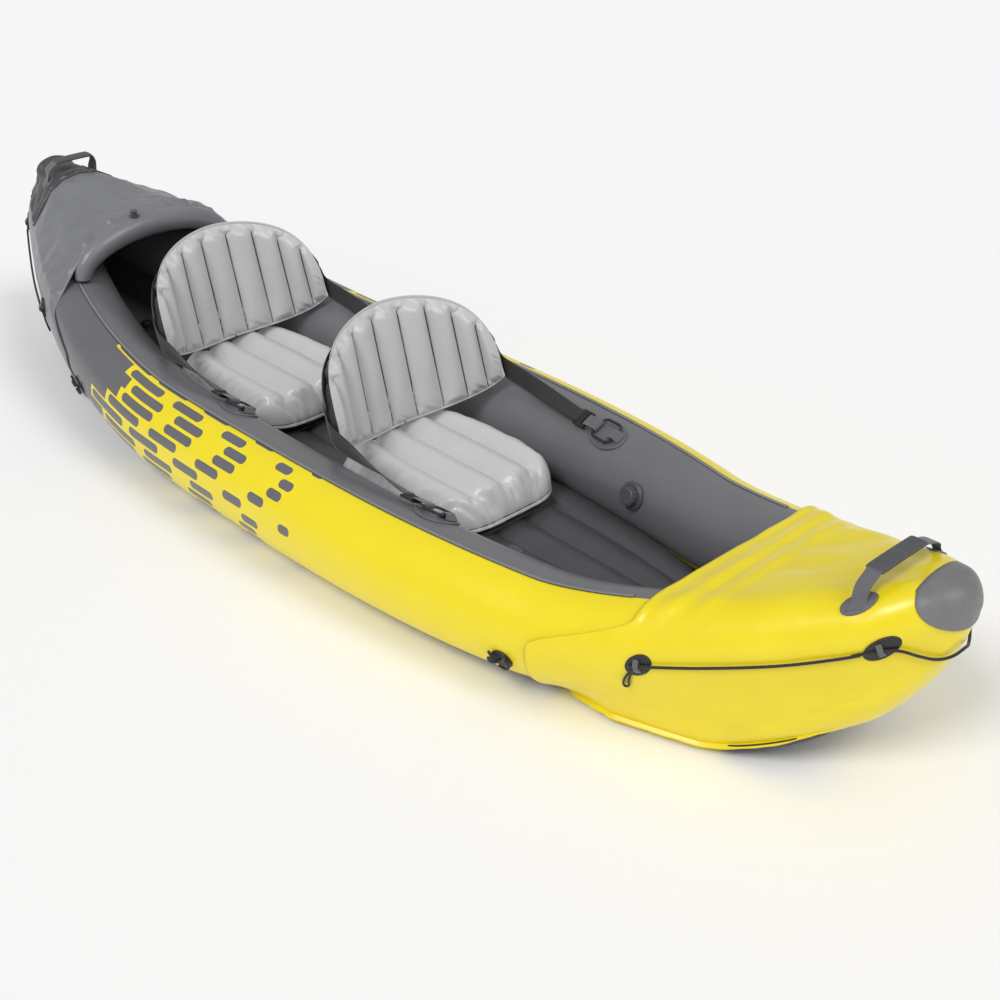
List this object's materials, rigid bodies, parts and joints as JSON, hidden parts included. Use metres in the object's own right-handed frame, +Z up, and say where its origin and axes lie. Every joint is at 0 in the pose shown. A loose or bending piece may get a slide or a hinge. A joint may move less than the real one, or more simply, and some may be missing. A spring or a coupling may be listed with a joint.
{
  "type": "tandem inflatable kayak",
  "caption": "Inflatable two-seat kayak: side air tubes, air floor, bow and stern covers, strapped air seats, carry handles, grab lines and valves.",
  "frame": {"origin": "on the ground under the middle of the hull", "axes": "+X to the bow, +Y to port, +Z up"},
  "size_m": [3.12, 0.9046, 0.5305],
  "materials": {
    "pvc_yellow": "calendered vinyl, satin gloss",
    "pvc_gray": "calendered vinyl, satin gloss",
    "pvc_dark": "calendered vinyl, satin",
    "pvc_black": "thick vinyl, matt",
    "pvc_silver": "calendered vinyl, soft gloss",
    "bumper_rubber": "moulded, matt",
    "grip_rubber": "moulded, ribbed",
    "moulded_black": "injection moulded",
    "moulded_gray": "injection moulded",
    "webbing_black": "woven webbing",
    "webbing_gray": "woven webbing",
    "fabric_black": "coated woven fabric",
    "rope": "braided cord"
  },
  "bodies": {
    "hull": {"air_floor": "pvc_dark", "bow_bumper": "bumper_rubber", "bow_cover": "pvc_yellow", "bow_grab_line": "rope", "bow_wear_patch": "pvc_black", "coaming_tube": "pvc_gray", "coaming_valve": "moulded_gray", "floor_valve": "moulded_black", "front_seat_base": "fabric_black", "front_seat_cushion": "pvc_silver", "front_strap_port": "webbing_black", "front_strap_starboard": "webbing_black", "handle_patches": "pvc_dark", "hull_bottom": "pvc_gray", "line_discs": "pvc_black", "line_knots": "rope", "line_loops": "webbing_gray", "rear_seat_base": "fabric_black", "rear_seat_cushion": "pvc_silver", "rear_strap_port": "webbing_black", "rear_strap_starboard": "webbing_black", "ring_keepers": "webbing_gray", "ring_patches": "pvc_dark", "skeg_base": "moulded_black", "stern_cover": "pvc_gray", "stern_flap": "pvc_dark", "stern_grab_line": "rope", "strap_buckles": "moulded_black", "strap_rings": "moulded_black", "strap_tabs": "webbing_gray", "tube_port": "pvc_yellow", "tube_starboard": "pvc_yellow", "valve_port": "moulded_black", "valve_starboard": "moulded_black"},
    "front_back": {"front_seat_back": "pvc_silver", "front_back_shell": "fabric_black"},
    "rear_back": {"rear_seat_back": "pvc_silver", "rear_back_shell": "fabric_black"},
    "bow_handle": {"bow_handle_strap": "webbing_gray", "bow_handle_grip": "grip_rubber"},
    "stern_handle": {"stern_handle_strap": "webbing_gray", "stern_handle_grip": "grip_rubber"},
    "cap_port": {"valve_cap_port": "moulded_black"},
    "cap_starboard": {"valve_cap_starboard": "moulded_black"},
    "cap_floor": {"floor_valve_cap": "moulded_black"},
    "arch_plug": {"coaming_plug": "moulded_gray"}
  },
  "joints": [
    {"name": "front_back_lean", "type": "hinge", "parent": "hull", "child": "front_back", "pos_m": [0.058, 0, 0.2133], "axis": [0, 1, 0], "range_deg": [-15, 10], "deforming": ["front_strap_port", "front_strap_starboard"]},
    {"name": "rear_back_lean", "type": "hinge", "parent": "hull", "child": "rear_back", "pos_m": [-0.63, 0, 0.2133], "axis": [0, 1, 0], "range_deg": [-15, 8], "deforming": ["rear_strap_port", "rear_strap_starboard"]},
    {"name": "bow_handle_swing", "type": "hinge", "parent": "hull", "child": "bow_handle", "pos_m": [1.406, 0, 0.41739], "axis": [0, 1, 0], "range_deg": [-35, 15], "deforming": ["bow_handle_strap"]},
    {"name": "stern_handle_swing", "type": "hinge", "parent": "hull", "child": "stern_handle", "pos_m": [-1.406, 0, 0.4705], "axis": [0, 1, 0], "range_deg": [-25, 25], "deforming": ["stern_handle_strap"]},
    {"name": "port_cap_turn", "type": "hinge", "parent": "hull", "child": "cap_port", "pos_m": [0.62, 0.18848, 0.1706], "axis": [-0.1137, -0.955, 0.2738], "continuous": true},
    {"name": "starboard_cap_turn", "type": "hinge", "parent": "hull", "child": "cap_starboard", "pos_m": [0.62, -0.18848, 0.1706], "axis": [-0.1137, 0.955, 0.2738], "continuous": true},
    {"name": "floor_cap_turn", "type": "hinge", "parent": "hull", "child": "cap_floor", "pos_m": [-1.08, 0, 0.08974], "axis": [-0.0945, 0, 0.9955], "continuous": true},
    {"name": "arch_plug_slide", "type": "slide", "parent": "hull", "child": "arch_plug", "axis": [0, -0.0939, 0.9956], "range_m": [0, 0.012]}
  ]
}
